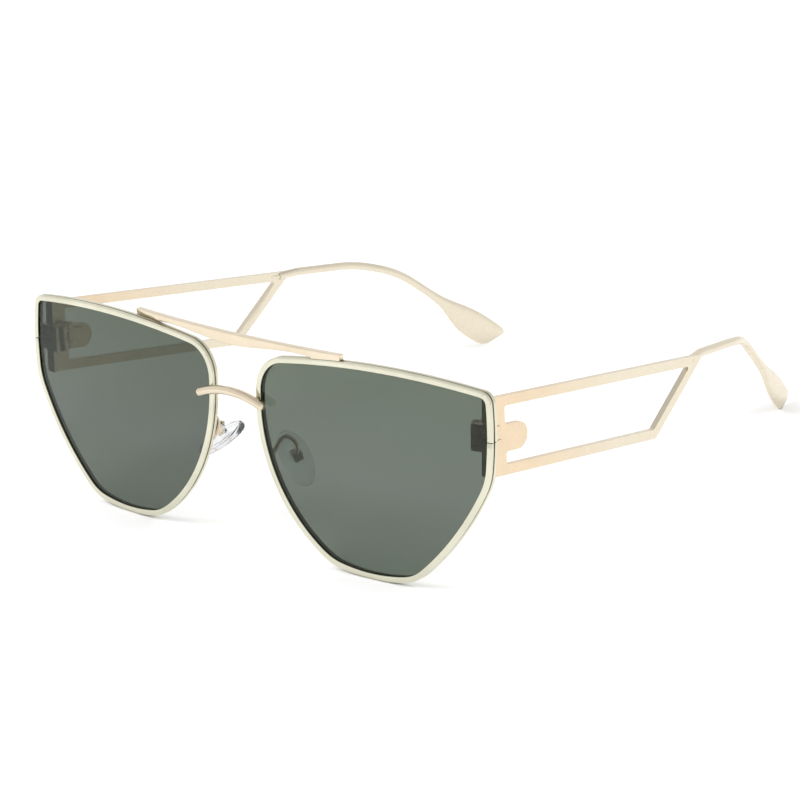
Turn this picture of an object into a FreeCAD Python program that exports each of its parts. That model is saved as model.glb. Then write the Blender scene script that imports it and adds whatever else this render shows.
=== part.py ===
import FreeCAD, Part
import math
import os

import Sketcher

from FreeCAD import Placement, Rotation, Vector

# Aviator sunglasses standing on their lens bottoms and temple tips with the temples open.
# +X is the wearer's left, +Z is up, and the temples run towards +Y.
# The front and its hinges are symmetric; the temples differ a little in slope, and the right nose pad is
# swung on its screw.

LEFT = 1
RIGHT = -1

doc = FreeCAD.newDocument("sunglasses")
sheet = doc.addObject("Spreadsheet::Sheet", "sheet")

DIMENSIONS = {
    # where the front's own frame sits in the part's frame
    "front_place": -72.003,
    "floor_place": -0.416,
    # spherical base curve of a rim: radius and centre of its front surface
    "base_radius": 400.0,
    "base_side": 11.9,
    "base_back": 400.2,
    "base_height": 5.9,
    # eyewire
    "rim_width": 1.3,
    "rim_depth": 1.7,
    "rim_lip": 0.35,
    "lens_groove_depth": 0.5,
    "lens_groove_width": 1.05,
    "outer_groove_depth": 0.4,
    "outer_groove_width": 0.5,
    "outer_groove_inset": 0.5,
    "rim_split": 0.12,
    # lens
    "lens_thickness": 0.9,
    "lens_engagement": 0.4,
    "braze_film": 0.03,
    # how far pieces run into one another or past a cut, and the length of every drilled hole and saw cut
    "overlap": 1.0,
    "drill_length": 12.0,
    # brow bar
    "brow_half_length": 32.0,
    "brow_shift": -1.0,
    "brow_turn": -1.5,
    "brow_front": 1.9,
    "brow_bow_radius": 291.0,
    "brow_thickness": 1.4,
    "brow_top": 49.25,
    "brow_drop": 2.7,
    "brow_waist": 1.6,
    "brow_waist_side": 14.0,
    "brow_foot_side": 24.0,
    "brow_foot_height": 3.0,
    # bridge wire
    "bridge_half_length": 10.2,
    "bridge_top": 36.6,
    "bridge_rise": 2.1,
    "bridge_radius": 1.0,
    "bridge_end_round": 0.85,
    # hinge
    "hinge_side": 64.95,
    "hinge_back": 10.9,
    "hinge_height": 36.0,
    "knuckle_radius": 1.5,
    "knuckle_height": 2.4,
    "knuckle_clearance": 0.1,
    "hinge_screw_radius": 0.6,
    "hinge_head_radius": 1.1,
    "hinge_head_height": 0.5,
    # closing blocks
    "block_half_height": 2.9,
    "foot_rear": 9.0,
    "foot_depth": 5.0,
    "foot_outer_side": 69.9,
    "arm_outer_side": 66.4,
    "arm_rear": 10.4,
    "boss_side": 63.7,
    "boss_back": 8.55,
    "boss_radius": 1.0,
    "lock_screw_radius": 0.5,
    "lock_head_radius": 0.8,
    "lock_head_height": 0.5,
    "screw_slot": 0.25,
    # temple, measured along it (reach) and across it (level) from the hinge
    "slope_left": 9.15,
    "slope_right": 8.75,
    "temple_toe_in": 2.55,
    "temple_inner": 1.8,
    "temple_thickness": 1.4,
    "temple_top": 8.1,
    "temple_bottom": -8.93,
    "rail_height": 2.15,
    "plate_front_top": -4.1,
    "plate_front_bottom": -2.8,
    "plate_rear_top": 0.6,
    "plate_rear_bottom": 2.5,
    "plate_notch": 9.3,
    "return_depth": 1.0,
    "return_thickness": 0.8,
    "return_corner": 0.2,
    "notch_length": 10.0,
    "notch_clearance": 0.25,
    "tab_height": 5.8,
    "tab_end": 9.1,
    "tab_level": -1.0,
    "strut_foot": 56.5,
    "strut_width": 2.1,
    "rail_end": 73.0,
    "plate_corner": 0.6,
    "rail_corner": 0.25,
    "window_corner": 0.5,
    "heel_outer": 1.8,
    "heel_inner": 1.2,
    "tab_fillet": 0.7,
    "wire_radius": 0.98,
    "root_narrow": 0.55,
    "root_wide": 0.9,
    "leaf_thickness": 0.85,
    "leaf_height": 4.2,
    "leaf_start": 2.0,
    "leaf_end": 7.6,
    "leaf_corner": 0.3,
    # nose pads
    "pad_splay": 34.0,
    "pad_flare": 8.6,
    "pad_lean": 20.0,
    "pad_length": 13.6,
    "pad_width": 6.9,
    "pad_thickness": 1.7,
    "pad_edge": 0.7,
    "pad_drop": 1.4,
    "pivot_offset": 1.95,
    "lug_height": 2.0,
    "lug_width": 1.1,
    "lug_overhang": 0.75,
    "box_wall": 0.4,
    "box_gap": 0.12,
    "box_height": 2.4,
    "box_front": 0.55,
    "box_back": 3.35,
    "pad_screw_radius": 0.4,
    "pad_screw_head": 0.62,
    "pad_screw_rise": 0.33,
    "pad_screw_clearance": 0.05,
    "arm_radius": 0.55,
}

for row, (name, number) in enumerate(DIMENSIONS.items(), start=1):
    sheet.set(f"A{row}", name)
    sheet.set(f"B{row}", str(number))
    sheet.setAlias(f"B{row}", name)
doc.recompute()


def size(name):
    return float(sheet.get(name))


def bind(thing, **formulas):
    for prop, formula in formulas.items():
        thing.setExpression(prop, formula)


def front_frame(side=0.0, back=0.0, height=0.0, rotation=Rotation()):
    """A place given in the front's own frame, as a placement in the part's frame."""
    base = Vector(side, back + size("front_place"), height + size("floor_place"))
    return Placement(base, rotation)


def place(thing, x="0", y="0", z="0"):
    """Bind a placement's base to places in the front's own frame."""
    thing.setExpression("Placement.Base.x", x)
    thing.setExpression("Placement.Base.y", f"{y} + sheet.front_place")
    thing.setExpression("Placement.Base.z", f"{z} + sheet.floor_place")


# ---------------------------------------------------------------- lens outline

# The lens opening is a hexagon with bowed sides and rounded corners, seen from the front.
# Each corner is (x, z, corner radius, bow of the side that leaves it), anticlockwise from the nose.
OPENING = [
    (8.38, 29.71, 20.0, 3.71),
    (27.17, 2.99, 12.8, 1.36),
    (49.26, 3.15, 10.4, 1.73),
    (68.38, 27.36, 13.2, 0.59),
    (68.44, 45.10, 1.65, 2.30),
    (8.73, 43.95, 7.15, 0.68),
]


def bowed_side(start, end, bow):
    """Centre and radius of the arc from start to end that bulges outwards by bow."""
    half = (end - start) * 0.5
    radius = (half.Length ** 2 + bow ** 2) / (2 * bow)
    inwards = Vector(-half.z, 0, half.x).normalize()
    centre = (start + end) * 0.5 + inwards * (radius - bow)
    return centre, radius


def corner_circle(before, after, radius, corner):
    """Centre of the circle of this radius that touches both bowed sides from inside, near their corner."""
    (c1, r1), (c2, r2) = before, after
    d1 = r1 - radius
    d2 = r2 - radius
    span = c2 - c1
    gap = span.Length
    along = (d1 ** 2 - d2 ** 2 + gap ** 2) / (2 * gap)
    across = math.sqrt(d1 ** 2 - along ** 2)
    foot = c1 + span * (along / gap)
    normal = Vector(-span.z, 0, span.x).normalize()
    options = [foot + normal * across, foot - normal * across]
    return min(options, key=lambda point: point.distanceToPoint(corner))


def arc_between(centre, radius, start, end):
    middle = (start + end) * 0.5 - centre
    return Part.Arc(start, centre + middle.normalize() * radius, end).toShape()


def outline_wire(grow):
    """The lens opening, grown outwards by this much, as a closed wire of twelve tangent arcs."""
    corners = [Vector(x, 0, z) for x, z, _, _ in OPENING]
    count = len(corners)
    sides = []
    for i, (_, _, _, bow) in enumerate(OPENING):
        sides.append(bowed_side(corners[i], corners[(i + 1) % count], bow))
    rounds = []
    for i, (_, _, radius, _) in enumerate(OPENING):
        rounds.append((corner_circle(sides[i - 1], sides[i], radius, corners[i]), radius))

    def touch(side, rounding):
        outwards = (rounding[0] - side[0]).normalize()
        return side[0] + outwards * (side[1] + grow)

    edges = []
    for i in range(count):
        following = rounds[(i + 1) % count]
        enter = touch(sides[i - 1], rounds[i])
        leave = touch(sides[i], rounds[i])
        reach = touch(sides[i], following)
        edges.append(arc_between(rounds[i][0], rounds[i][1] + grow, enter, leave))
        edges.append(arc_between(sides[i][0], sides[i][1] + grow, leave, reach))
    return Part.Wire(edges)


# Profiles that are trimmed to a curved surface start this far in front of the front and run this far.
PRISM_LEAD = 5.0
PRISM_LENGTH = 20.0


def outline_prism(name, grow):
    """A straight block of the grown outline, running front to back through the whole rim."""
    profile = doc.addObject("Part::Feature", name + "_outline")
    profile.Shape = Part.Face(outline_wire(grow))
    profile.Placement = front_frame(back=-PRISM_LEAD)
    prism = doc.addObject("Part::Extrusion", name)
    prism.Base = profile
    prism.Dir = Vector(0, 1, 0)
    prism.DirMode = "Custom"
    prism.LengthFwd = PRISM_LENGTH
    prism.Solid = True
    return prism


def base_sphere(name, inset):
    """A ball whose front is the rim's front surface, moved back by the inset formula."""
    ball = doc.addObject("Part::Sphere", name)
    bind(ball, Radius=f"sheet.base_radius - ({inset})")
    place(ball, "sheet.base_side", "sheet.base_back", "sheet.base_height")
    return ball


def shell(name, blank, near, far):
    """The part of a prism between two concentric base-curve surfaces."""
    front = doc.addObject("Part::Common", name + "_front")
    front.Base = blank
    front.Tool = base_sphere(name + "_outer_ball", near)
    slab = doc.addObject("Part::Cut", name)
    slab.Base = front
    slab.Tool = base_sphere(name + "_inner_ball", far)
    return slab


def cut(name, base, tool):
    result = doc.addObject("Part::Cut", name)
    result.Base = base
    result.Tool = tool
    return result


def fuse(name, *pieces):
    result = doc.addObject("Part::MultiFuse", name)
    result.Shapes = list(pieces)
    result.Refine = True
    return result


def group(name, *pieces):
    """Wrap pieces so that they can be placed as a whole."""
    holder = doc.addObject("Part::Compound", name)
    holder.Links = list(pieces)
    return holder


def box(name, length, width, height, x, y, z):
    """A block with one corner at a place in the front's own frame; every argument is a formula."""
    block = doc.addObject("Part::Box", name)
    bind(block, Length=length, Width=width, Height=height)
    place(block, x, y, z)
    return block


def upright(name, radius, height, x, y, z):
    """An upright cylinder at a place in the front's own frame; every argument is a formula."""
    column = doc.addObject("Part::Cylinder", name)
    bind(column, Radius=radius, Height=height)
    place(column, x, y, z)
    return column


# ---------------------------------------------------------------- rim and lens

def make_rim():
    width = size("rim_width")
    blank = shell("rim_blank", outline_prism("rim_prism", width), "0", "sheet.rim_depth")
    opened = cut("rim_opened", blank, outline_prism("opening_prism", 0.0))
    lens_groove = shell(
        "lens_groove",
        outline_prism("lens_groove_prism", size("lens_groove_depth")),
        "sheet.rim_lip",
        "sheet.rim_lip + sheet.lens_groove_width",
    )
    grooved = cut("rim_grooved", opened, lens_groove)
    groove_ring = cut(
        "groove_ring",
        outline_prism("groove_outer_prism", width + size("overlap")),
        outline_prism("groove_floor_prism", width - size("outer_groove_depth")),
    )
    outer_groove = shell(
        "outer_groove",
        groove_ring,
        "sheet.outer_groove_inset",
        "sheet.outer_groove_inset + sheet.outer_groove_width",
    )
    ringed = cut("rim_ringed", grooved, outer_groove)
    saw_cut = box(
        "rim_saw_cut", "sheet.drill_length / 2", "sheet.drill_length", "sheet.rim_split",
        "sheet.hinge_side + sheet.overlap", "0", "sheet.hinge_height - sheet.rim_split / 2",
    )
    return cut("rim_left", ringed, saw_cut)


def make_lens():
    near = "sheet.rim_lip + (sheet.lens_groove_width - sheet.lens_thickness) / 2"
    return shell(
        "lens_left",
        outline_prism("lens_prism", size("lens_engagement")),
        near,
        f"{near} + sheet.lens_thickness",
    )


# ---------------------------------------------------------------- brow bar and bridge

def sketch_on(body, name, plane):
    """A sketch lying in one of the body's own origin planes."""
    sketch = body.newObject("Sketcher::SketchObject", name)
    planes = {feature.Role: feature for feature in body.Origin.OriginFeatures}
    sketch.AttachmentSupport = [(planes[plane], "")]
    sketch.MapMode = "FlatFace"
    return sketch


def make_brow_bar():
    """A bar bowed to the wrap of the front, deepest in the middle, its feet on the rims' outer edges."""
    top = size("brow_top")
    end = size("brow_half_length")
    foot = size("brow_foot_side")
    waist = size("brow_waist_side")
    under = [
        Vector(-foot, 0, top - size("brow_waist")),
        Vector(-waist, 0, top - size("brow_waist")),
        Vector(0, 0, top - size("brow_drop")),
        Vector(waist, 0, top - size("brow_waist")),
        Vector(foot, 0, top - size("brow_waist")),
    ]
    belly = Part.BSplineCurve()
    belly.interpolate(under)
    corners = [
        under[-1],
        Vector(foot, 0, top - size("brow_foot_height")),
        Vector(end, 0, top - size("brow_foot_height")),
        Vector(end, 0, top),
        Vector(-end, 0, top),
        Vector(-end, 0, top - size("brow_foot_height")),
        Vector(-foot, 0, top - size("brow_foot_height")),
        under[0],
    ]
    edges = [belly.toShape()]
    for start, stop in zip(corners, corners[1:]):
        edges.append(Part.makeLine(start, stop))
    profile = doc.addObject("Part::Feature", "brow_profile")
    profile.Shape = Part.Face(Part.Wire(edges))
    profile.Placement = front_frame(back=-PRISM_LEAD)
    blank = doc.addObject("Part::Extrusion", "brow_blank")
    blank.Base = profile
    blank.Dir = Vector(0, 1, 0)
    blank.DirMode = "Custom"
    blank.LengthFwd = PRISM_LENGTH
    blank.Solid = True
    axis = "sheet.brow_front + sheet.brow_bow_radius"
    bowed = doc.addObject("Part::Common", "brow_bowed")
    bowed.Base = blank
    front_radius = "sheet.brow_bow_radius"
    bowed.Tool = upright("brow_front_face", front_radius, "sheet.brow_top + sheet.overlap", "0", axis, "0")
    back_radius = "sheet.brow_bow_radius - sheet.brow_thickness"
    behind = upright("brow_back_face", back_radius, "sheet.brow_top + sheet.overlap", "0", axis, "0")
    bar = group("brow_set", cut("brow_slab", bowed, behind))
    turned = Rotation(Vector(0, 0, 1), size("brow_turn"))
    bar.Placement = Placement(Vector(size("brow_shift"), 0, 0), turned, Vector(0, size("front_place"), 0))
    seat = outline_prism("brow_rest_left", size("rim_width") + size("braze_film"))
    trimmed = cut("brow_trimmed", bar, seat)
    return cut("brow_bar", trimmed, mirrored("brow_rest_right", seat))


def make_bridge():
    """Round wire bent to one arc, with rounded ends, across the front of both rims."""
    body = doc.addObject("PartDesign::Body", "bridge")
    path = sketch_on(body, "bridge_path", "XZ_Plane")
    half = size("bridge_half_length")
    rise = size("bridge_rise")
    radius = (half ** 2 + rise ** 2) / (2 * rise)
    sweep = math.asin(half / radius)
    circle = Part.Circle(Vector(0, -radius, 0), Vector(0, 0, 1), radius)
    path.addGeometry(Part.ArcOfCircle(circle, math.pi / 2 - sweep, math.pi / 2 + sweep))
    path.addConstraint(Sketcher.Constraint("Radius", 0, radius))
    path.renameConstraint(0, "bend")
    path.setExpression(
        "Constraints.bend",
        "(sheet.bridge_half_length ^ 2 + sheet.bridge_rise ^ 2) / (2 * sheet.bridge_rise)",
    )
    section = sketch_on(body, "bridge_section", "YZ_Plane")
    section.addGeometry(Part.Circle(Vector(0, 0, 0), Vector(0, 0, 1), size("bridge_radius")))
    section.addConstraint(Sketcher.Constraint("Radius", 0, size("bridge_radius")))
    section.renameConstraint(0, "wire")
    section.setExpression("Constraints.wire", "sheet.bridge_radius")
    pipe = body.newObject("PartDesign::AdditivePipe", "bridge_pipe")
    pipe.Profile = section
    pipe.Spine = (path, ["Edge1"])
    doc.recompute()
    ends = body.newObject("PartDesign::Fillet", "bridge_ends")
    ends.Base = (pipe, circular_edges(pipe.Shape))
    bind(ends, Radius="sheet.bridge_end_round")
    place(body, z="sheet.bridge_top")
    return body


def circular_edges(shape):
    """Names of the edges that are full circles."""
    names = []
    for i, edge in enumerate(shape.Edges, start=1):
        if isinstance(edge.Curve, Part.Circle) and edge.isClosed():
            names.append(f"Edge{i}")
    return names


# ---------------------------------------------------------------- mirror

def mirrored(name, source):
    """The right-hand twin of a left-hand piece."""
    twin = doc.addObject("Part::Mirroring", name)
    twin.Source = source
    twin.Base = Vector(0, 0, 0)
    twin.Normal = Vector(1, 0, 0)
    return twin


# ---------------------------------------------------------------- closing blocks and hinge

BLOCKS_LOW = "sheet.hinge_height - sheet.block_half_height"
BLOCKS_TOP = "sheet.hinge_height + sheet.block_half_height"


def screw(name, radius, head_radius, head_height, x, y):
    """An upright screw through both blocks; its slotted head is sunk into the upper one."""
    height = f"2 * sheet.block_half_height - {head_height} + sheet.braze_film"
    shank = upright(name + "_shank", radius, height, x, y, BLOCKS_LOW)
    top = f"{BLOCKS_TOP} - {head_height} + sheet.braze_film"
    head = upright(name + "_head", head_radius, head_height, x, y, top)
    slot = box(
        name + "_slot", f"4 * {head_radius}", "sheet.screw_slot", head_height,
        f"{x} - 2 * {head_radius}", f"{y} - sheet.screw_slot / 2", f"{top} + {head_height} / 2",
    )
    return cut(name, fuse(name + "_solid", shank, head), slot)


# Holes through the hinge start this far down, so that they run past both closing blocks.
DRILL_LOW = "sheet.hinge_height - sheet.drill_length / 2"


def make_block(name, upper):
    """Half of a closing block with its hinge knuckle; the halves meet at the rim's saw cut."""
    half_gap = "sheet.rim_split / 2"
    knuckle_edge = "(sheet.knuckle_height / 2 + sheet.knuckle_clearance)"
    if upper:
        low = f"sheet.hinge_height + {half_gap}"
        knuckle_low = f"sheet.hinge_height + {knuckle_edge}"
    else:
        low = "sheet.hinge_height - sheet.block_half_height"
        knuckle_low = low
    height = f"sheet.block_half_height - {half_gap}"
    knuckle_height = f"sheet.block_half_height - {knuckle_edge}"
    foot = box(
        name + "_foot", "sheet.foot_outer_side - sheet.boss_side", "sheet.foot_depth", height,
        "sheet.boss_side", "sheet.foot_rear - sheet.foot_depth", low,
    )
    boss = upright(name + "_boss", "sheet.boss_radius", height, "sheet.boss_side", "sheet.boss_back", low)
    arm = box(
        name + "_arm", "sheet.arm_outer_side - sheet.boss_side",
        "sheet.arm_rear - sheet.foot_rear + sheet.overlap", knuckle_height,
        "sheet.boss_side", "sheet.foot_rear - sheet.overlap", knuckle_low,
    )
    knuckle = upright(
        name + "_knuckle", "sheet.knuckle_radius", knuckle_height,
        "sheet.hinge_side", "sheet.hinge_back", knuckle_low,
    )
    behind_rim = doc.addObject("Part::Common", name + "_behind_rim")
    behind_rim.Base = fuse(name + "_solid", foot, boss, arm, knuckle)
    behind_rim.Tool = base_sphere(name + "_rest", "sheet.rim_depth + sheet.braze_film")
    clearance = "sheet.knuckle_clearance / 2"
    pin_hole = upright(
        name + "_pin_hole", f"sheet.hinge_screw_radius + {clearance}", "sheet.drill_length",
        "sheet.hinge_side", "sheet.hinge_back", DRILL_LOW,
    )
    lock_hole = upright(
        name + "_lock_hole", f"sheet.lock_screw_radius + {clearance}", "sheet.drill_length",
        "sheet.boss_side", "sheet.boss_back", DRILL_LOW,
    )
    holes = [pin_hole, lock_hole]
    if upper:
        pin_head = upright(
            name + "_pin_head", f"sheet.hinge_head_radius + {clearance}", "sheet.drill_length",
            "sheet.hinge_side", "sheet.hinge_back", f"{BLOCKS_TOP} - sheet.hinge_head_height",
        )
        lock_head = upright(
            name + "_lock_head", f"sheet.lock_head_radius + {clearance}", "sheet.drill_length",
            "sheet.boss_side", "sheet.boss_back", f"{BLOCKS_TOP} - sheet.lock_head_height",
        )
        holes += [pin_head, lock_head]
    return cut(name, behind_rim, fuse(name + "_holes", *holes))


def make_hinge_screw():
    return screw(
        "hinge_screw_left", "sheet.hinge_screw_radius", "sheet.hinge_head_radius", "sheet.hinge_head_height",
        "sheet.hinge_side", "sheet.hinge_back",
    )


def make_lock_screw():
    return screw(
        "lock_screw_left", "sheet.lock_screw_radius", "sheet.lock_head_radius", "sheet.lock_head_height",
        "sheet.boss_side", "sheet.boss_back",
    )


def turn(thing, slope=0.0, side=LEFT):
    """Put a piece on its hinge, leaning in with the temple and sloping down towards the back."""
    level = Rotation(Vector(1, 0, 0), -slope)
    rotation = Rotation(Vector(0, 0, 1), side * size("temple_toe_in")).multiply(level)
    thing.Placement = Placement(thing.Placement.Base, rotation)
    place(thing, f"{side} * sheet.hinge_side", "sheet.hinge_back", "sheet.hinge_height")


# A tongue's corner radius as a share of its half height, so that a short straight edge is left at its end.
ROUND_END = 0.98


def make_hinge_leaf():
    """The middle knuckle and the leaf that is brazed to the inside of the temple plate."""
    barrel = doc.addObject("Part::Cylinder", "leaf_barrel")
    bind(barrel, Radius="sheet.knuckle_radius", Height="sheet.knuckle_height")
    barrel.setExpression("Placement.Base.z", "-sheet.knuckle_height / 2")
    strap = doc.addObject("Part::Box", "leaf_strap")
    bind(strap, Length="sheet.leaf_thickness", Width="sheet.leaf_start + sheet.overlap",
         Height="sheet.knuckle_height")
    inner = "sheet.temple_inner - sheet.braze_film - sheet.leaf_thickness"
    strap.setExpression("Placement.Base.x", inner)
    strap.setExpression("Placement.Base.z", "-sheet.knuckle_height / 2")
    body = fuse("leaf_hinge", barrel, strap)
    turn(body)
    half = size("leaf_height") / 2
    level = size("tab_level")
    outline = [
        (size("leaf_start"), level - half, size("leaf_corner")),
        (size("leaf_end"), level - half, half * ROUND_END),
        (size("leaf_end"), level + half, half * ROUND_END),
        (size("leaf_start"), level + half, size("leaf_corner")),
    ]
    leaf = plate("leaf_plate", Part.Face(rounded_wire(outline)), inner, "sheet.leaf_thickness")
    tongue = fuse("leaf_tongue", leaf, leaf_overlap(inner))
    turn(tongue, (size("slope_left") + size("slope_right")) / 2)
    pin_hole = upright(
        "leaf_pin_hole", "sheet.hinge_screw_radius + sheet.knuckle_clearance / 2", "sheet.drill_length",
        "sheet.hinge_side", "sheet.hinge_back", DRILL_LOW,
    )
    return cut("hinge_leaf_left", fuse("leaf_solid", body, tongue), pin_hole)


def leaf_overlap(inner):
    """A short root that carries the leaf's full thickness into the strap."""
    root = doc.addObject("Part::Box", "leaf_root")
    bind(root, Length="sheet.leaf_thickness", Width="sheet.overlap", Height="sheet.leaf_height / 2")
    root.setExpression("Placement.Base.x", inner)
    root.setExpression("Placement.Base.y", "sheet.leaf_start")
    root.setExpression("Placement.Base.z", "sheet.tab_level - sheet.leaf_height / 4")
    return root


# ---------------------------------------------------------------- temple

def rounded_wire(corners):
    """A closed wire in the YZ plane through (reach, level, radius) corners, each rounded by its radius."""
    count = len(corners)
    rounded = []
    for i, (y, z, radius) in enumerate(corners):
        corner = Vector(0, y, z)
        before = Vector(0, *corners[i - 1][:2])
        after = Vector(0, *corners[(i + 1) % count][:2])
        to_before = (before - corner).normalize()
        to_after = (after - corner).normalize()
        half_angle = to_before.getAngle(to_after) / 2
        reach = radius / math.tan(half_angle)
        middle = (to_before + to_after).normalize() * (radius / math.sin(half_angle) - radius)
        rounded.append((corner + to_before * reach, corner + middle, corner + to_after * reach))
    edges = []
    for i, (enter, middle, leave) in enumerate(rounded):
        edges.append(Part.Arc(enter, middle, leave).toShape())
        edges.append(Part.makeLine(leave, rounded[(i + 1) % count][0]))
    return Part.Wire(edges)


def plate(name, face, inner, thickness):
    """A flat plate with this outline in the YZ plane, from the inner place outwards."""
    profile = doc.addObject("Part::Feature", name + "_profile")
    profile.Shape = face
    solid = doc.addObject("Part::Extrusion", name)
    solid.Base = profile
    solid.Dir = Vector(1, 0, 0)
    solid.DirMode = "Custom"
    solid.Solid = True
    bind(solid, LengthFwd=thickness)
    solid.setExpression("Placement.Base.x", inner)
    return solid


def temple_face():
    """Side outline of the plate with its tab, the two rails and the slanting strut."""
    top = size("temple_top")
    bottom = size("temple_bottom")
    rail = size("rail_height")
    under_top = top - rail
    over_bottom = bottom + rail
    # the strut rises at 45 degrees, so along the rails each side lies its half width times root two away
    lean = size("strut_foot") - (bottom + rail / 2)
    side = size("strut_width") / math.sqrt(2)
    front_top = size("plate_front_top")
    front_bottom = size("plate_front_bottom")
    rear_top = size("plate_rear_top")
    rear_bottom = size("plate_rear_bottom")
    outer = [
        (front_top, top, size("plate_corner")),
        (size("rail_end"), top, size("rail_corner")),
        (size("rail_end"), size("rail_end") - lean - side, size("rail_corner")),
        (lean + bottom + side, bottom, size("heel_outer")),
        (front_bottom, bottom, size("plate_corner")),
    ]
    tab_low = size("tab_level") - size("tab_height") / 2
    tab_high = size("tab_level") + size("tab_height") / 2

    def rear_edge(level):
        share = (under_top - level) / (under_top - over_bottom)
        return rear_top + (rear_bottom - rear_top) * share

    tab_round = size("tab_height") / 2 * ROUND_END
    opening = [
        (rear_top, under_top, size("window_corner")),
        (lean + under_top - side, under_top, size("window_corner")),
        (lean + over_bottom - side, over_bottom, size("heel_inner")),
        (rear_bottom, over_bottom, size("window_corner")),
        (rear_edge(tab_low), tab_low, size("tab_fillet")),
        (size("tab_end"), tab_low, tab_round),
        (size("tab_end"), tab_high, tab_round),
        (rear_edge(tab_high), tab_high, size("tab_fillet")),
    ]
    return Part.Face(rounded_wire(outer)).cut(Part.Face(rounded_wire(opening))).Faces[0]


def temple_return():
    """The plate's front edge, folded inwards behind the rim."""
    front_top = size("plate_front_top")
    front_bottom = size("plate_front_bottom")
    thickness = size("return_thickness")
    corner = size("return_corner")
    outline = [
        (front_top, size("temple_top"), corner),
        (front_top + thickness, size("temple_top"), corner),
        (front_bottom + thickness, size("temple_bottom"), corner),
        (front_bottom, size("temple_bottom"), corner),
    ]
    return plate(
        "temple_return", Part.Face(rounded_wire(outline)),
        "sheet.temple_inner - sheet.return_depth", "sheet.return_depth + sheet.temple_thickness / 2",
    )


# The ear wire leaves the top rail, bends inwards and then down, and ends in a flattened tip.
# Places are (outwards, along the temple, across it) from the hinge, each with its bend radius.
WIRE_ROOT = Vector(2.5, 65.5, 7.05)
WIRE_START = Vector(2.3, 70.0, 7.1)
WIRE_BENDS = [
    (Vector(1.22, 75.5, 7.94), 8.0),
    (Vector(-0.97, 93.76, 8.4), 27.0),
    (Vector(-5.8, 104.36, 6.27), 27.0),
]
TIP_END = Vector(-12.72, 135.81, -12.944)
# The tip starts this share of the way from the last bend to its end.
TIP_SHARE = 0.3
TIP_START = WIRE_BENDS[-1][0] + (TIP_END - WIRE_BENDS[-1][0]) * TIP_SHARE
TIP_EDGE = Vector(-2.05, 7.03, 3.78)
# The tip's sections: (share of its length, half width, half thickness).
TIP_SECTIONS = [
    (0.0, 0.98, 0.98),
    (0.12, 1.1, 0.95),
    (0.27, 1.6, 0.88),
    (0.42, 2.6, 0.8),
    (0.57, 3.5, 0.74),
    (0.72, 3.95, 0.69),
    (0.86, 4.05, 0.64),
    (0.94, 3.95, 0.58),
    (0.99, 3.5, 0.5),
    (1.01, 2.9, 0.42),
]
# As the tip widens, its middle moves over to its lower edge by this share of the widening.
TIP_SHIFT = 0.2


def wire_path():
    """Straight runs joined by tangent arcs."""
    points = [WIRE_START] + [point for point, _ in WIRE_BENDS] + [TIP_START]
    edges = []
    last = WIRE_START
    for i, (corner, radius) in enumerate(WIRE_BENDS, start=1):
        back = (points[i - 1] - corner).normalize()
        ahead = (points[i + 1] - corner).normalize()
        half_angle = back.getAngle(ahead) / 2
        reach = radius / math.tan(half_angle)
        enter = corner + back * reach
        leave = corner + ahead * reach
        middle = corner + (back + ahead).normalize() * (radius / math.sin(half_angle) - radius)
        edges.append(Part.makeLine(last, enter))
        edges.append(Part.Arc(enter, middle, leave).toShape())
        last = leave
    edges.append(Part.makeLine(last, TIP_START))
    return Part.Wire(edges)


def ear_wire():
    radius = size("wire_radius")
    along = (WIRE_BENDS[0][0] - WIRE_START).normalize()
    section = Part.Wire([Part.makeCircle(radius, WIRE_START, along)])
    return wire_path().makePipeShell([section], True, False)


def wire_root():
    """The wire's tapered beginning inside the rail, running on into the wire."""
    along = WIRE_START - WIRE_ROOT
    length = along.Length + size("overlap")
    return Part.makeCone(size("root_narrow"), size("root_wide"), length, WIRE_ROOT, along)


def flattened_tip():
    axis = (TIP_END - TIP_START).normalize()
    edge = Vector(TIP_EDGE).normalize()
    square = (edge - axis * edge.dot(axis)).normalize()
    sections = []
    for share, half_width, half_thickness in TIP_SECTIONS:
        centre = TIP_START + (TIP_END - TIP_START) * share
        across = (square * (1 - share) + edge * share).normalize()
        centre -= across * (half_width - size("wire_radius")) * TIP_SHIFT
        through = axis.cross(square).normalize()
        if share:
            outline = Part.Ellipse(centre + across * half_width, centre + through * half_thickness, centre)
        else:
            outline = Part.Circle(centre, axis, size("wire_radius"))
        sections.append(Part.Wire([outline.toShape()]))
    return Part.makeLoft(sections, True, False)


def make_temple_blank():
    """The plate, ear wire and tip as one left-hand piece, in the hinge's own frame."""
    frame = plate("temple_frame", temple_face(), "sheet.temple_inner", "sheet.temple_thickness")
    wire = doc.addObject("Part::Feature", "temple_wire")
    wire.Shape = ear_wire()
    root = doc.addObject("Part::Feature", "temple_wire_root")
    root.Shape = wire_root()
    tip = doc.addObject("Part::Feature", "temple_tip")
    tip.Shape = flattened_tip()
    return fuse("temple_blank", frame, temple_return(), root, wire, tip)


def make_temples():
    """Both temples; the right one is the left one's mirror image but slopes a little less."""
    blank = make_temple_blank()
    clearance = "sheet.notch_clearance"
    height = f"2 * (sheet.block_half_height + {clearance})"
    notch = box(
        "notch_left", "sheet.notch_length", "sheet.notch_length", height,
        "sheet.arm_outer_side - sheet.notch_length / 2", "sheet.plate_notch - sheet.notch_length",
        f"sheet.hinge_height - sheet.block_half_height - {clearance}",
    )
    right_blank = mirrored("temple_blank_right", blank)
    right_notch = mirrored("notch_right", notch)
    halves = {
        "left": (LEFT, size("slope_left"), blank, notch),
        "right": (RIGHT, size("slope_right"), right_blank, right_notch),
    }
    temples = {}
    for name, (side, slope, piece, opening) in halves.items():
        placed = group("temple_placed_" + name, piece)
        turn(placed, slope, side)
        temples["temple_" + name] = cut("temple_" + name, placed, opening)
    return temples


# ---------------------------------------------------------------- nose pads

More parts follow.
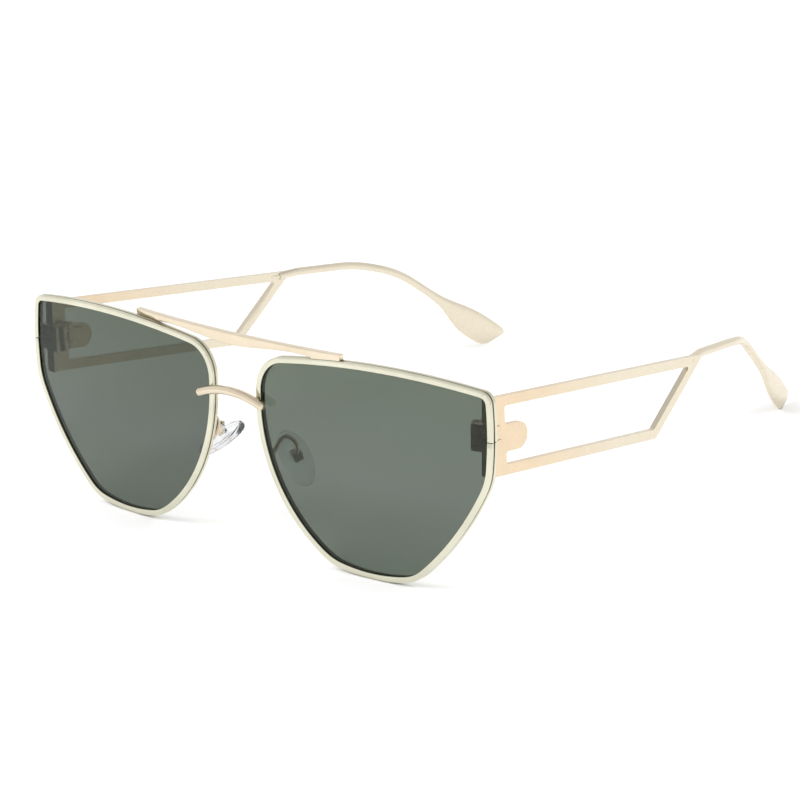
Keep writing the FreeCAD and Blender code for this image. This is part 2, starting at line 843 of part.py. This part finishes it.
# Every pad piece is drawn in the pad's own frame: x from the nose side towards the rim, z along the pad.
# The arm's route runs from the back of the rim to the pad box, in the front's own frame.
PADS = {
    "left": {
        "side": LEFT,
        "place": Vector(8.2, 10.2, 20.6),
        "rock": 0.0,
        "arm": [
            Vector(8.9, 1.3, 22.2),
            Vector(8.95, 4.3, 24.2),
            Vector(9.6, 6.6, 25.9),
            Vector(10.7, 7.9, 24.7),
            Vector(10.9, 8.2, 22.0),
        ],
    },
    "right": {
        "side": RIGHT,
        "place": Vector(-10.2, 7.7, 23.8),
        "rock": -46.0,
        "arm": [
            Vector(-9.2, 1.3, 23.4),
            Vector(-9.1, 3.6, 24.4),
            Vector(-9.9, 5.0, 26.4),
            Vector(-11.6, 5.7, 27.0),
            Vector(-12.9, 5.7, 25.2),
        ],
    },
}


def place_on_pad(thing, hand):
    """Carry a piece from the pad's own frame to its place beside the nose."""
    pad = PADS[hand]
    splay = -size("pad_splay") if pad["side"] == LEFT else 180 + size("pad_splay")
    rotation = Rotation(splay, -size("pad_flare"), pad["side"] * size("pad_lean"))
    spot = pad["place"]
    thing.Placement = front_frame(spot.x, spot.y, spot.z, rotation)
    return thing


def rocked(name, piece, hand):
    """The piece swung about the pad screw and carried to its place."""
    swing = group(name + "_swing", piece)
    pivot = Vector(size("pivot_offset"), 0, 0)
    swing.Placement = Placement(Vector(), Rotation(Vector(0, 1, 0), PADS[hand]["rock"]), pivot)
    return place_on_pad(group(name, swing), hand)


def make_nose_pad():
    """Clear oval pad with rounded edges; its flat back faces the rim."""
    body = doc.addObject("PartDesign::Body", "pad_body")
    oval = sketch_on(body, "pad_oval", "YZ_Plane")
    centre = Vector(0, -size("pad_drop"), 0)
    major = centre + Vector(0, size("pad_length") / 2, 0)
    minor = centre + Vector(size("pad_width") / 2, 0, 0)
    oval.addGeometry(Part.Ellipse(major, minor, centre))
    slab = body.newObject("PartDesign::Pad", "pad_slab")
    slab.Profile = oval
    slab.Reversed = True
    bind(slab, Length="sheet.pad_thickness")
    doc.recompute()
    soft = body.newObject("PartDesign::Fillet", "pad_edges")
    soft.Base = (slab, [f"Edge{i}" for i, edge in enumerate(slab.Shape.Edges, start=1) if edge.isClosed()])
    bind(soft, Radius="sheet.pad_edge")
    return body


def local_box(name, low, high):
    """A block between two corners, given as formulas in the pad's own frame."""
    block = doc.addObject("Part::Box", name)
    bind(
        block,
        Length=f"({high[0]}) - ({low[0]})",
        Width=f"({high[1]}) - ({low[1]})",
        Height=f"({high[2]}) - ({low[2]})",
    )
    for axis, formula in zip("xyz", low):
        block.setExpression(f"Placement.Base.{axis}", formula)
    return block


def cross_pin(name, radius, low, high):
    """A cylinder along the pad's width, on the pivot."""
    pin = doc.addObject("Part::Cylinder", name)
    pin.Placement = Placement(Vector(0, 0, 0), Rotation(Vector(1, 0, 0), -90))
    bind(pin, Radius=radius, Height=f"({high}) - ({low})")
    pin.setExpression("Placement.Base.x", "sheet.pivot_offset")
    pin.setExpression("Placement.Base.y", low)
    return pin


LUG_SIDE = "sheet.lug_width / 2"
BOX_INNER = f"({LUG_SIDE} + sheet.box_gap)"
BOX_OUTER = f"({BOX_INNER} + sheet.box_wall)"
BOX_BACK = "(sheet.box_back + sheet.box_wall)"
PAD_HOLE = "sheet.pad_screw_radius + sheet.pad_screw_clearance"


def make_pad_lug():
    """The insert moulded on the pad's back, pierced for the pad screw."""
    block = local_box(
        "lug_block",
        ("sheet.braze_film", f"-{LUG_SIDE}", "-sheet.lug_height / 2"),
        ("sheet.pivot_offset + sheet.lug_overhang", LUG_SIDE, "sheet.lug_height / 2"),
    )
    return cut("lug_blank", block, cross_pin("lug_hole", PAD_HOLE, f"-{BOX_OUTER}", BOX_OUTER))


def make_pad_box():
    """The open metal box that holds the lug between its two walls."""
    block = local_box(
        "box_block",
        ("sheet.box_front", f"-{BOX_OUTER}", "-sheet.box_height / 2"),
        (BOX_BACK, BOX_OUTER, "sheet.box_height / 2"),
    )
    hollow = local_box(
        "box_hollow",
        ("0", f"-{BOX_INNER}", "-sheet.box_height"),
        ("sheet.box_back", BOX_INNER, "sheet.box_height"),
    )
    hole = cross_pin("box_hole", PAD_HOLE, f"-2 * {BOX_OUTER}", f"2 * {BOX_OUTER}")
    return cut("box_blank", cut("box_open", block, hollow), hole)


def make_pad_screw():
    film = "sheet.braze_film"
    shank = cross_pin("pad_shank", "sheet.pad_screw_radius", f"-{BOX_OUTER}", f"{BOX_OUTER} + 2 * {film}")
    head = cross_pin(
        "pad_head", "sheet.pad_screw_head", f"{BOX_OUTER} + {film}", f"{BOX_OUTER} + sheet.pad_screw_rise",
    )
    return fuse("pad_screw_blank", shank, head)


def make_pad_arm(hand):
    """Thin bent wire, trimmed where it meets the rim and the pad box."""
    route = PADS[hand]["arm"]
    curve = Part.BSplineCurve()
    curve.interpolate(route)
    path = Part.Wire([curve.toShape()])
    start = curve.tangent(curve.FirstParameter)[0]
    section = Part.Wire([Part.makeCircle(size("arm_radius"), route[0], start)])
    wire = doc.addObject("Part::Feature", "arm_wire_" + hand)
    wire.Shape = path.makePipeShell([section], True, False)
    wire.Placement = front_frame()
    rest = base_sphere("arm_rest_" + hand, "sheet.rim_depth + sheet.braze_film")
    if PADS[hand]["side"] == RIGHT:
        rest = mirrored("arm_rest_mirrored", rest)
    behind = doc.addObject("Part::Common", "arm_behind_rim_" + hand)
    behind.Base = wire
    behind.Tool = rest
    reach = f"({BOX_OUTER} + sheet.braze_film)"
    block = local_box(
        "arm_trim_" + hand,
        ("sheet.box_front", f"-{reach}", "-sheet.box_height"),
        (f"{BOX_BACK} + sheet.braze_film", reach, "sheet.box_height / 2 + sheet.braze_film"),
    )
    trim = place_on_pad(group("arm_trim_placed_" + hand, block), hand)
    return cut("pad_arm_" + hand, behind, trim)


def make_pads():
    """The pad sets of both sides, each a pad and lug rocking on a screw in a box carried by an arm."""
    still = {"pad_box": make_pad_box(), "pad_screw": make_pad_screw()}
    moving = {"nose_pad": make_nose_pad(), "pad_lug": make_pad_lug()}
    pieces = {}
    for hand in PADS:
        for name, blank in still.items():
            pieces[f"{name}_{hand}"] = place_on_pad(group(f"{name}_{hand}", blank), hand)
        for name, blank in moving.items():
            pieces[f"{name}_{hand}"] = rocked(f"{name}_{hand}", blank, hand)
        pieces["pad_arm_" + hand] = make_pad_arm(hand)
    return pieces


# ---------------------------------------------------------------- assembly

def build_mirrored_pieces():
    """The left-hand pieces whose right-hand twins are their exact mirror images."""
    return {
        "rim": make_rim(),
        "lens": make_lens(),
        "lock_block_upper": make_block("lock_block_upper_left", upper=True),
        "lock_block_lower": make_block("lock_block_lower_left", upper=False),
        "lock_screw": make_lock_screw(),
        "hinge_screw": make_hinge_screw(),
        "hinge_leaf": make_hinge_leaf(),
    }


def check(node):
    """Stop if a node, or anything it is built from, failed."""
    for thing in [node] + node.OutListRecursive:
        if "Invalid" in thing.State or "Error" in thing.State:
            raise ValueError(f"{thing.Name} failed to recompute")
    if node.Shape.isNull() or not node.Shape.isValid():
        raise ValueError(f"{node.Name} has no valid shape")


nodes = {"brow_bar": make_brow_bar(), "bridge": make_bridge()}
for piece, left in build_mirrored_pieces().items():
    nodes[piece + "_left"] = left
    nodes[piece + "_right"] = mirrored(piece + "_right", left)
nodes.update(make_temples())
nodes.update(make_pads())
doc.recompute()

for name, node in nodes.items():
    node.Label = name
    check(node)

os.makedirs("parts", exist_ok=True)
for name, node in nodes.items():
    node.Shape.exportStep(f"parts/{name}.step")
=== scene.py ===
"""Looks for the folding sunglasses: materials, soft edges, floor, lights and camera."""

import math

import bpy
from mathutils import Matrix, Vector

# Where the front's own frame sits in the row frame, in metres.
FRONT_PLACE = -0.072003
FLOOR_PLACE = -0.000416

WHITE = (1.0, 1.0, 1.0)

# Noise patterns: repeats per metre, detail and roughness.
PLATING_CLOUD = (140.0, 2.0, 0.5)
PLATING_WEAR = (520.0, 5.0, 0.6)
PLATING_MARKS = (2600.0, 2.0, 0.5)
LENS_HAZE = (60.0, 2.0, 0.5)
PAD_HAZE = (400.0, 3.0, 0.5)
PAPER_CLOUD = (30.0, 2.0, 0.5)
# Where a noise pattern's values mostly start and end.
NOISE_LOW = 0.3
NOISE_HIGH = 0.7

# Painted shade: recesses narrower than the reach, in metres, darken towards the shade tone.
RECESS_REACH = 0.0007
RECESS_SHADE_TONE = (0.30, 0.26, 0.20)
# How open a recess is where it has its full painted shade and where it has none.
RECESS_CLOSED = 0.2
RECESS_OPEN = 0.85
RECESS_SAMPLES = 16
# The plating's roughness varies between these shares of its own value.
SMOOTHEST = 0.8
ROUGHEST = 1.25
# Height of the plating's fine marks, in metres, and how much of it shows.
MARK_HEIGHT = 0.00001
MARK_STRENGTH = 0.1
# The rear colour sets in between these places along the temples, in metres.
REAR_FADE = (-0.052, -0.020)

# The light that one face of a lens lets through, at its bottom, at the middle's share of its height
# and at its top.
LENS_LOW = (0.338, 0.374, 0.328)
LENS_MIDDLE = (0.362, 0.394, 0.366)
LENS_TOP = (0.336, 0.370, 0.322)
LENS_MIDDLE_SHARE = 0.45
LENS_HEIGHT = 0.047
LENS_GLOSS = (0.95, 1.0, 0.96)
LENS_IOR = 1.38
LENS_ROUGHNESS = (0.03, 0.06)
PAD_TONES = ((0.86, 0.87, 0.90), (0.92, 0.93, 0.95))
PAD_IOR = 1.41
PAD_ROUGHNESS = (0.08, 0.14)

# Widths of the rounded edges, in metres.
BAR_EDGE = 0.0002
RIM_EDGE = 0.00012
PAD_MOUNT_EDGE = 0.00006
SCREW_EDGE = 0.00005
# Points nearer than the reach, in metres, are one point. Edges that bend by less than the angle
# stay as they are.
WELD_REACH = 0.000002
ROUNDED_ANGLE = math.radians(40)

# Half the side of the studio's floor, in metres, and the two tones of its paper.
FLOOR_HALF = 6.0
PAPER_TONES = ((0.93, 0.93, 0.93), (0.95, 0.95, 0.95))
# The strength of the walls and of the ceiling. The ceiling starts and is complete where an upward direction
# has these heights.
WALL_STRENGTH = 0.97
CEILING_STRENGTH = 0.6
CEILING_EDGE = 0.6
CEILING_FULL = 0.9
# Each lamp's place and side, in metres, and its power in watts, and what they all point at.
LAMPS = {"key": ((-0.5, -0.9, 1.1), 0.9, 11.0),
         "fill": ((0.9, 0.3, 0.9), 0.8, 6.0)}
LAMP_AIM = (0, 0, 0.02)

# The camera's angles in degrees, distance and near limit in metres, and lens and sensor in millimetres.
AZIMUTH = 43.00
ELEVATION = 18.49
ROLL = -3.67
DISTANCE = 0.6968
NEAR_LIMIT = 0.01
FOCAL_LENGTH = 136.8
SENSOR_WIDTH = 36.0
# The point looked at, in the front's own frame, and how far the view is shifted across and up, in metres.
AIM = (0, 0.04, 0.02)
AIM_ACROSS = 0.00968
AIM_UP = 0.00216

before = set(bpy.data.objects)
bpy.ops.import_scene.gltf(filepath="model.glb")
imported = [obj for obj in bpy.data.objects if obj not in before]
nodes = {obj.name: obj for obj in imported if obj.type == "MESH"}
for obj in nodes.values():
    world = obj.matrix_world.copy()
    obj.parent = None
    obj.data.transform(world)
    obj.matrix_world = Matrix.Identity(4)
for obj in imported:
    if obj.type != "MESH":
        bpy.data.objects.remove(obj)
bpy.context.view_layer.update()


def both(*names):
    return [f"{name}_{side}" for name in names for side in ("left", "right")]


# ---------------------------------------------------------------- node helpers

def new_material(name):
    material = bpy.data.materials.new(name)
    material.use_nodes = True
    tree = material.node_tree
    tree.nodes.clear()
    output = tree.nodes.new("ShaderNodeOutputMaterial")
    return material, tree, output


def noise(tree, scale, detail, roughness):
    place = tree.nodes.new("ShaderNodeTexCoord")
    grain = tree.nodes.new("ShaderNodeTexNoise")
    grain.inputs["Scale"].default_value = scale
    grain.inputs["Detail"].default_value = detail
    grain.inputs["Roughness"].default_value = roughness
    tree.links.new(place.outputs["Object"], grain.inputs["Vector"])
    return grain.outputs["Fac"]


def ramp(tree, source, stops):
    """A colour ramp over the source, with (place, colour) stops."""
    node = tree.nodes.new("ShaderNodeValToRGB")
    elements = node.color_ramp.elements
    while len(elements) < len(stops):
        elements.new(0.5)
    for element, (place, colour) in zip(elements, stops):
        element.position = place
        element.color = (*colour, 1.0)
    tree.links.new(source, node.inputs["Fac"])
    return node.outputs["Color"]


def clouded(tree, source, low, high):
    """A colour that drifts from low to high with a noise pattern."""
    return ramp(tree, source, [(NOISE_LOW, low), (NOISE_HIGH, high)])


def object_axes(tree):
    """The place in the piece's own frame, split into its axes."""
    place = tree.nodes.new("ShaderNodeTexCoord")
    axes = tree.nodes.new("ShaderNodeSeparateXYZ")
    tree.links.new(place.outputs["Object"], axes.inputs["Vector"])
    return axes.outputs


def blend(tree, kind, factor, first, second):
    """Two colours, each a socket, combined by a blend kind with a fixed factor or a socket."""
    node = tree.nodes.new("ShaderNodeMix")
    node.data_type = "RGBA"
    node.blend_type = kind
    if isinstance(factor, float):
        node.inputs[0].default_value = factor
    else:
        tree.links.new(factor, node.inputs[0])
    tree.links.new(first, node.inputs[6])
    tree.links.new(second, node.inputs[7])
    return node.outputs[2]


def span(tree, source, low, high, start=NOISE_LOW, end=NOISE_HIGH):
    """The source, which varies from start to end, spread over low to high."""
    node = tree.nodes.new("ShaderNodeMapRange")
    node.inputs["From Min"].default_value = start
    node.inputs["From Max"].default_value = end
    node.inputs["To Min"].default_value = low
    node.inputs["To Max"].default_value = high
    tree.links.new(source, node.inputs["Value"])
    return node.outputs["Result"]


def bump(tree, source, distance, strength):
    node = tree.nodes.new("ShaderNodeBump")
    node.inputs["Strength"].default_value = strength
    node.inputs["Distance"].default_value = distance
    tree.links.new(source, node.inputs["Height"])
    return node.outputs["Normal"]


# ---------------------------------------------------------------- materials

def plated_metal(name, pale, deep, roughness, rear=None):
    """Plating with clouded colour and polish, fine marks, painted shade darkening its recesses, and maybe a
    rear colour.
    """
    material, tree, output = new_material(name)
    shader = tree.nodes.new("ShaderNodeBsdfPrincipled")
    shader.inputs["Metallic"].default_value = 1.0
    cloud = noise(tree, *PLATING_CLOUD)
    colour = clouded(tree, cloud, deep, pale)
    if rear:
        length = span(tree, object_axes(tree)["Y"], 0.0, 1.0, *REAR_FADE)
        colour = blend(tree, "MIX", length, colour, clouded(tree, cloud, rear, rear))
    # Painted shade: an occlusion mask darkens the colour in narrow recesses and grooves.
    recess = tree.nodes.new("ShaderNodeAmbientOcclusion")
    recess.samples = RECESS_SAMPLES
    recess.inputs["Distance"].default_value = RECESS_REACH
    painted_recess_shade = ramp(tree, recess.outputs["AO"], [(RECESS_CLOSED, RECESS_SHADE_TONE), (RECESS_OPEN, WHITE)])
    tree.links.new(blend(tree, "MULTIPLY", 1.0, colour, painted_recess_shade), shader.inputs["Base Color"])
    wear = noise(tree, *PLATING_WEAR)
    polish = span(tree, wear, roughness * SMOOTHEST, roughness * ROUGHEST)
    tree.links.new(polish, shader.inputs["Roughness"])
    marks = noise(tree, *PLATING_MARKS)
    tree.links.new(bump(tree, marks, MARK_HEIGHT, MARK_STRENGTH), shader.inputs["Normal"])
    tree.links.new(shader.outputs["BSDF"], output.inputs["Surface"])
    return material


def tinted_lens(name, painted_shade_depth):
    """Grey-green sun lens: each face lets part of the light through, less at a greater depth, and a depth
    above one is painted shade.
    """
    material, tree, output = new_material(name)
    see_through = tree.nodes.new("ShaderNodeBsdfTransparent")
    height = span(tree, object_axes(tree)["Z"], 0.0, 1.0, 0.0, LENS_HEIGHT)
    stops = []
    for place_up, passed in ((0.0, LENS_LOW), (LENS_MIDDLE_SHARE, LENS_MIDDLE), (1.0, LENS_TOP)):
        stops.append((place_up, tuple(part / painted_shade_depth for part in passed)))
    tint = ramp(tree, height, stops)
    tree.links.new(tint, see_through.inputs["Color"])
    gloss = tree.nodes.new("ShaderNodeBsdfGlossy")
    gloss.inputs["Color"].default_value = (*LENS_GLOSS, 1.0)
    haze = noise(tree, *LENS_HAZE)
    tree.links.new(span(tree, haze, *LENS_ROUGHNESS), gloss.inputs["Roughness"])
    # A face mirrors only from outside the lens, so that no light is trapped inside it.
    facing = tree.nodes.new("ShaderNodeNewGeometry")
    fresnel = tree.nodes.new("ShaderNodeFresnel")
    bending = span(tree, facing.outputs["Backfacing"], LENS_IOR, 1.0, 0.0, 1.0)
    tree.links.new(bending, fresnel.inputs["IOR"])
    mix = tree.nodes.new("ShaderNodeMixShader")
    tree.links.new(fresnel.outputs["Fac"], mix.inputs[0])
    tree.links.new(see_through.outputs["BSDF"], mix.inputs[1])
    tree.links.new(gloss.outputs["BSDF"], mix.inputs[2])
    tree.links.new(mix.outputs["Shader"], output.inputs["Surface"])
    return material


def clear_plastic(name):
    """Clear soft plastic of the pads, with a little haze."""
    material, tree, output = new_material(name)
    shader = tree.nodes.new("ShaderNodeBsdfPrincipled")
    shader.inputs["Transmission Weight"].default_value = 1.0
    shader.inputs["IOR"].default_value = PAD_IOR
    haze = noise(tree, *PAD_HAZE)
    colour = clouded(tree, haze, *PAD_TONES)
    tree.links.new(colour, shader.inputs["Base Color"])
    tree.links.new(span(tree, haze, *PAD_ROUGHNESS), shader.inputs["Roughness"])
    tree.links.new(shader.outputs["BSDF"], output.inputs["Surface"])
    return material


gold = plated_metal("champagne_plating", (0.78, 0.68, 0.53), (0.72, 0.62, 0.47), 0.22)
pale_gold = plated_metal("pale_plating", (0.72, 0.70, 0.565), (0.65, 0.635, 0.51), 0.22)
satin_gold = plated_metal("champagne_satin", (0.77, 0.625, 0.445), (0.72, 0.58, 0.41), 0.30,
                          rear=(0.735, 0.665, 0.53))
steel = plated_metal("screw_steel", (0.55, 0.50, 0.44), (0.45, 0.41, 0.36), 0.30)
# Painted shade: the right lens is a darker copy of the same lens tint.
# The lens on the wearer's right looks darker in the picture being matched.
lens_tints = {"lens_left": tinted_lens("green_lens", 1.0),
              "lens_right": tinted_lens("green_lens_painted_shade", 1.13)}
pad_clear = clear_plastic("clear_pad")


def dress(names, material, edge=0.0):
    """Give nodes their material and, with an edge width, a fine rounding along their sharp edges."""
    for name in names:
        thing = nodes[name]
        thing.data.materials.clear()
        thing.data.materials.append(material)
        if edge:
            weld = thing.modifiers.new("weld", "WELD")
            weld.merge_threshold = WELD_REACH
            rounding = thing.modifiers.new("rounding", "BEVEL")
            rounding.width = edge
            rounding.segments = 2
            rounding.limit_method = "ANGLE"
            rounding.angle_limit = ROUNDED_ANGLE


dress(both("rim"), pale_gold, RIM_EDGE)
dress(["brow_bar"], gold, BAR_EDGE)
dress(["bridge"], gold)
dress(both("temple"), satin_gold, BAR_EDGE)
dress(both("hinge_leaf", "lock_block_upper", "lock_block_lower"), satin_gold, RIM_EDGE)
dress(both("pad_arm", "pad_box"), gold, PAD_MOUNT_EDGE)
dress(both("lock_screw", "hinge_screw", "pad_screw"), steel, SCREW_EDGE)
dress(both("nose_pad", "pad_lug"), pad_clear)
for name, tint in lens_tints.items():
    dress([name], tint)
    nodes[name].visible_shadow = False


# ---------------------------------------------------------------- studio

def floor():
    mesh = bpy.data.meshes.new("studio_floor")
    half = FLOOR_HALF
    corners = [(-half, -half, 0), (half, -half, 0), (half, half, 0), (-half, half, 0)]
    mesh.from_pydata(corners, [], [(0, 1, 2, 3)])
    plane = bpy.data.objects.new("studio_floor", mesh)
    bpy.context.scene.collection.objects.link(plane)
    material, tree, output = new_material("studio_paper")
    shader = tree.nodes.new("ShaderNodeBsdfPrincipled")
    paper = noise(tree, *PAPER_CLOUD)
    tone = clouded(tree, paper, *PAPER_TONES)
    tree.links.new(tone, shader.inputs["Base Color"])
    shader.inputs["Roughness"].default_value = 0.8
    shader.inputs["Specular IOR Level"].default_value = 0.2
    tree.links.new(shader.outputs["BSDF"], output.inputs["Surface"])
    mesh.materials.append(material)


def area_light(name, place, side, power):
    """A square lamp that lights the scene but isn't mirrored in it."""
    lamp = bpy.data.lights.new(name, "AREA")
    lamp.shape = "RECTANGLE"
    lamp.size = side
    lamp.size_y = side
    lamp.energy = power
    holder = bpy.data.objects.new(name, lamp)
    holder.location = place
    holder.visible_glossy = False
    holder.rotation_euler = (Vector(LAMP_AIM) - Vector(place)).to_track_quat("-Z", "Y").to_euler()
    bpy.context.scene.collection.objects.link(holder)


def studio_world():
    """Bright walls all round and a darker ceiling, so that upward faces of the metal show a darker line."""
    world = bpy.data.worlds.new("studio_air")
    bpy.context.scene.world = world
    world.use_nodes = True
    tree = world.node_tree
    direction = tree.nodes.new("ShaderNodeTexCoord")
    axes = tree.nodes.new("ShaderNodeSeparateXYZ")
    tree.links.new(direction.outputs["Generated"], axes.inputs["Vector"])
    strength = span(tree, axes.outputs["Z"], WALL_STRENGTH, CEILING_STRENGTH, CEILING_EDGE, CEILING_FULL)
    shade = tree.nodes["Background"]
    shade.inputs["Color"].default_value = (*WHITE, 1.0)
    tree.links.new(strength, shade.inputs["Strength"])


def camera():
    """The viewing angle, roll, distance and lens of the picture being matched."""
    azimuth = math.radians(AZIMUTH)
    elevation = math.radians(ELEVATION)
    roll = math.radians(ROLL)
    right = Vector((math.cos(azimuth), math.sin(azimuth), 0))
    level = Vector((math.sin(azimuth), -math.cos(azimuth), 0))
    back = level * math.cos(elevation) + Vector((0, 0, math.sin(elevation)))
    up = back.cross(right)
    look_at = Vector(AIM) + Vector((0, FRONT_PLACE, FLOOR_PLACE)) + right * AIM_ACROSS + up * AIM_UP
    turned_right = right * math.cos(roll) + up * math.sin(roll)
    turned_up = up * math.cos(roll) - right * math.sin(roll)
    lens = bpy.data.cameras.new("camera")
    lens.lens = FOCAL_LENGTH
    lens.sensor_width = SENSOR_WIDTH
    lens.clip_start = NEAR_LIMIT
    holder = bpy.data.objects.new("camera", lens)
    bpy.context.scene.collection.objects.link(holder)
    turn = Matrix((turned_right, turned_up, back)).transposed().to_4x4()
    holder.matrix_world = Matrix.Translation(look_at + back * DISTANCE) @ turn
    bpy.context.scene.camera = holder


floor()
studio_world()
for name, lamp in LAMPS.items():
    area_light(name, *lamp)
camera()
bpy.context.scene.view_settings.view_transform = "Standard"
